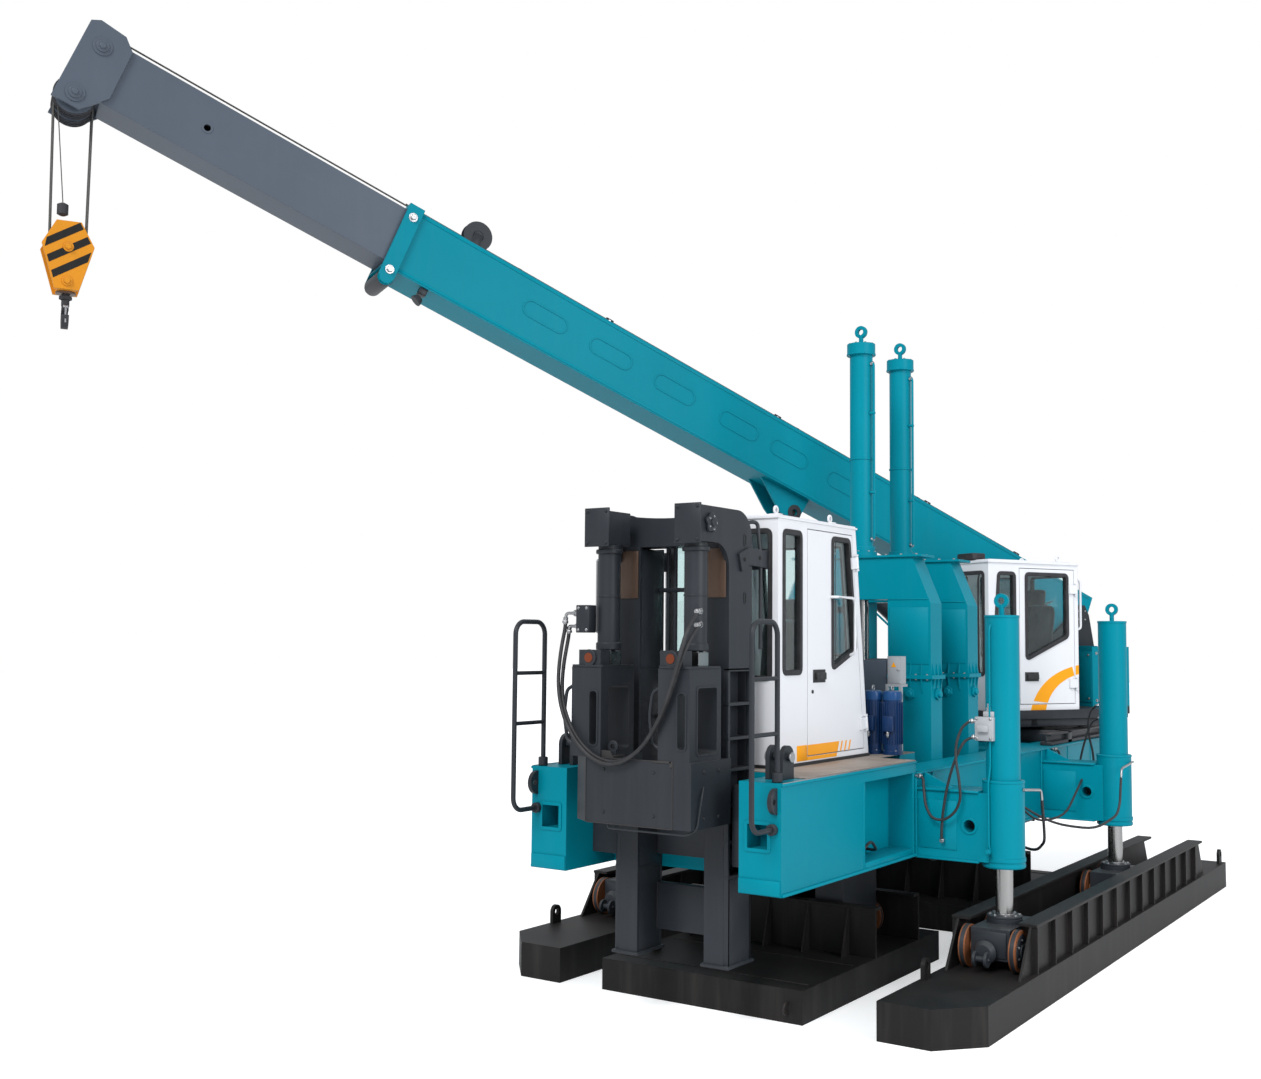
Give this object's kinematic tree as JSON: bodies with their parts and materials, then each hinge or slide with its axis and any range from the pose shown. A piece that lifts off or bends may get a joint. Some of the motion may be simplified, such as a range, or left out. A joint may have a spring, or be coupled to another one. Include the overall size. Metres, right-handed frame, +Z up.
{
  "type": "pile driver rig",
  "caption": "Hydraulic pile driving rig on walking pontoons, with leg cylinders, a press gantry, a front press mast, two cabs and a slewing crane with a telescopic boom and hook.",
  "frame": {"origin": "on the ground under the main pile clamp's axis", "axes": "+Y towards the machine's back along its pontoons, +X to its right, +Z up"},
  "size_m": [6.8069, 9.932, 7.4493],
  "materials": {
    "teal": "satin",
    "dark": "satin",
    "boat": "worn",
    "white": "gloss",
    "boom_grey": "satin",
    "chrome_rod": "polished",
    "wheel_steel": "worn",
    "deck_brown": "worn",
    "pane": "clear",
    "seat_cover": "matt",
    "motor_blue": "gloss",
    "grey_box": "satin",
    "hook_orange": "satin",
    "forged": "rough",
    "pin_steel": "satin",
    "hose_rubber": "matt"
  },
  "bodies": {
    "frame": {"main_frame": "teal", "deck_plates": "deck_brown", "outriggers": "teal", "hangers": "dark", "leg_barrels": "teal", "gantry": "teal", "press_barrels": "teal", "mast": "dark", "side_barrels": "dark", "handrails": "dark", "frame_lugs": "dark", "front_hoses": "hose_rubber", "leg_hoses": "hose_rubber", "press_cab": "white", "press_cab_glass": "pane", "press_seat": "seat_cover", "power_pack": "grey_box", "motors": "motor_blue"},
    "clamp": {"main_clamp": "boom_grey", "press_rods": "chrome_rod"},
    "carriage": {"carriage": "dark", "side_rods": "chrome_rod"},
    "press_door": {"press_door": "white", "press_door_glass": "pane"},
    "crane": {"turret": "dark", "turret_pins": "pin_steel", "tail_box": "teal", "crane_cab": "white", "crane_cab_glass": "pane", "crane_seat": "seat_cover"},
    "crane_door": {"crane_door": "white", "crane_door_glass": "pane"},
    "boom": {"boom_outer": "teal"},
    "inner_boom": {"boom_inner": "boom_grey"},
    "luff_barrel": {"luff_barrel": "dark"},
    "luff_rod": {"luff_rod": "chrome_rod"},
    "hook": {"hook_block": "hook_orange", "hook": "forged"},
    "legs_left": {"leg_rods_left": "chrome_rod", "trolleys_left": "dark"},
    "boat_left": {"long_boat_left": "boat"},
    "wheels_left_front_ahead": {"wheels_left_front_ahead": "wheel_steel"},
    "wheels_left_front_behind": {"wheels_left_front_behind": "wheel_steel"},
    "short_wheels_front_left": {"short_wheels_front_left": "wheel_steel"},
    "wheels_left_rear_ahead": {"wheels_left_rear_ahead": "wheel_steel"},
    "wheels_left_rear_behind": {"wheels_left_rear_behind": "wheel_steel"},
    "short_wheels_rear_left": {"short_wheels_rear_left": "wheel_steel"},
    "legs_right": {"leg_rods_right": "chrome_rod", "trolleys_right": "dark"},
    "boat_right": {"long_boat_right": "boat"},
    "wheels_right_front_ahead": {"wheels_right_front_ahead": "wheel_steel"},
    "wheels_right_front_behind": {"wheels_right_front_behind": "wheel_steel"},
    "short_wheels_front_right": {"short_wheels_front_right": "wheel_steel"},
    "wheels_right_rear_ahead": {"wheels_right_rear_ahead": "wheel_steel"},
    "wheels_right_rear_behind": {"wheels_right_rear_behind": "wheel_steel"},
    "short_wheels_rear_right": {"short_wheels_rear_right": "wheel_steel"},
    "short_boat_front": {"short_boat_front": "boat"},
    "short_boat_rear": {"short_boat_rear": "boat"}
  },
  "joints": [
    {"name": "leg_lift_left", "type": "slide", "parent": "frame", "child": "legs_left", "axis": [0, 0, 1], "range_m": [-0.45, 0.33]},
    {"name": "boat_travel_left", "type": "slide", "parent": "legs_left", "child": "boat_left", "axis": [0, 1, 0], "range_m": [-1.6, 0.1]},
    {"name": "wheel_spin_left_front_ahead", "type": "hinge", "parent": "legs_left", "child": "wheels_left_front_ahead", "pos_m": [-1.636, -1.69, 0.413], "axis": [1, 0, 0], "continuous": true},
    {"name": "wheel_spin_left_front_behind", "type": "hinge", "parent": "legs_left", "child": "wheels_left_front_behind", "pos_m": [-1.636, -1.21, 0.413], "axis": [1, 0, 0], "continuous": true},
    {"name": "wheel_spin_left_rear_ahead", "type": "hinge", "parent": "legs_left", "child": "wheels_left_rear_ahead", "pos_m": [-1.636, 1.21, 0.413], "axis": [1, 0, 0], "continuous": true},
    {"name": "wheel_spin_left_rear_behind", "type": "hinge", "parent": "legs_left", "child": "wheels_left_rear_behind", "pos_m": [-1.636, 1.69, 0.413], "axis": [1, 0, 0], "continuous": true},
    {"name": "leg_lift_right", "type": "slide", "parent": "frame", "child": "legs_right", "axis": [0, 0, 1], "range_m": [-0.45, 0.33]},
    {"name": "boat_travel_right", "type": "slide", "parent": "legs_right", "child": "boat_right", "axis": [0, 1, 0], "range_m": [-1.6, 0.1]},
    {"name": "wheel_spin_right_front_ahead", "type": "hinge", "parent": "legs_right", "child": "wheels_right_front_ahead", "pos_m": [1.636, -1.69, 0.413], "axis": [1, 0, 0], "continuous": true},
    {"name": "wheel_spin_right_front_behind", "type": "hinge", "parent": "legs_right", "child": "wheels_right_front_behind", "pos_m": [1.636, -1.21, 0.413], "axis": [1, 0, 0], "continuous": true},
    {"name": "wheel_spin_right_rear_ahead", "type": "hinge", "parent": "legs_right", "child": "wheels_right_rear_ahead", "pos_m": [1.636, 1.21, 0.413], "axis": [1, 0, 0], "continuous": true},
    {"name": "wheel_spin_right_rear_behind", "type": "hinge", "parent": "legs_right", "child": "wheels_right_rear_behind", "pos_m": [1.636, 1.69, 0.413], "axis": [1, 0, 0], "continuous": true},
    {"name": "short_boat_travel_front", "type": "slide", "parent": "frame", "child": "short_boat_front", "axis": [1, 0, 0], "range_m": [-0.3, 0.5]},
    {"name": "short_wheel_spin_front_left", "type": "hinge", "parent": "frame", "child": "short_wheels_front_left", "pos_m": [-0.3, -1.35, 0.383], "axis": [0, 1, 0], "continuous": true},
    {"name": "short_wheel_spin_front_right", "type": "hinge", "parent": "frame", "child": "short_wheels_front_right", "pos_m": [0.3, -1.35, 0.383], "axis": [0, 1, 0], "continuous": true},
    {"name": "short_boat_travel_rear", "type": "slide", "parent": "frame", "child": "short_boat_rear", "axis": [1, 0, 0], "range_m": [-0.3, 0.5]},
    {"name": "short_wheel_spin_rear_left", "type": "hinge", "parent": "frame", "child": "short_wheels_rear_left", "pos_m": [-0.3, 1.35, 0.383], "axis": [0, 1, 0], "continuous": true},
    {"name": "short_wheel_spin_rear_right", "type": "hinge", "parent": "frame", "child": "short_wheels_rear_right", "pos_m": [0.3, 1.35, 0.383], "axis": [0, 1, 0], "continuous": true},
    {"name": "main_press", "type": "slide", "parent": "frame", "child": "clamp", "axis": [0, 0, 1], "range_m": [-1, 0.5]},
    {"name": "side_press", "type": "slide", "parent": "frame", "child": "carriage", "axis": [0, 0, 1], "range_m": [-0.6, 0]},
    {"name": "press_door_hinge", "type": "hinge", "parent": "frame", "child": "press_door", "pos_m": [0.566, -1.51, 1.78], "axis": [0, -0.1279, 0.9918], "range_deg": [0, 75]},
    {"name": "slew", "type": "hinge", "parent": "frame", "child": "crane", "pos_m": [0, 3, 1.85], "axis": [0, 0, 1], "range_deg": [-60, 15]},
    {"name": "crane_door_hinge", "type": "hinge", "parent": "crane", "child": "crane_door", "pos_m": [0.97005, 2.55065, 2.6], "axis": [0, 0, 1], "range_deg": [0, 100]},
    {"name": "boom_luff", "type": "hinge", "parent": "crane", "child": "boom", "pos_m": [0.43907, 3.78563, 2.91], "axis": [-0.8729, 0.4879, 0], "range_deg": [-7, 45]},
    {"name": "boom_telescope", "type": "slide", "parent": "boom", "child": "inner_boom", "axis": [-0.451, -0.8071, 0.3811], "range_m": [-2.4, 4]},
    {"name": "luff_cylinder_tilt", "type": "hinge", "parent": "crane", "child": "luff_barrel", "pos_m": [-0.21954, 2.60718, 2.15], "axis": [-0.8729, 0.4879, 0], "range_deg": [-10, 50]},
    {"name": "luff_rod_slide", "type": "slide", "parent": "luff_barrel", "child": "luff_rod", "axis": [-0.3873, -0.693, 0.6081], "range_m": [-0.2, 1.25]},
    {"name": "hook_swing", "type": "hinge", "parent": "inner_boom", "child": "hook", "pos_m": [-4.57638, -5.18846, 6.83366], "axis": [-0.8729, 0.4879, 0], "range_deg": [-48, 20]}
  ],
  "couplings": [
    {"joint": "luff_cylinder_tilt", "follows": "boom_luff", "ratio": 1},
    {"joint": "luff_rod_slide", "follows": "boom_luff", "m_per_rad": 1.5}
  ]
}
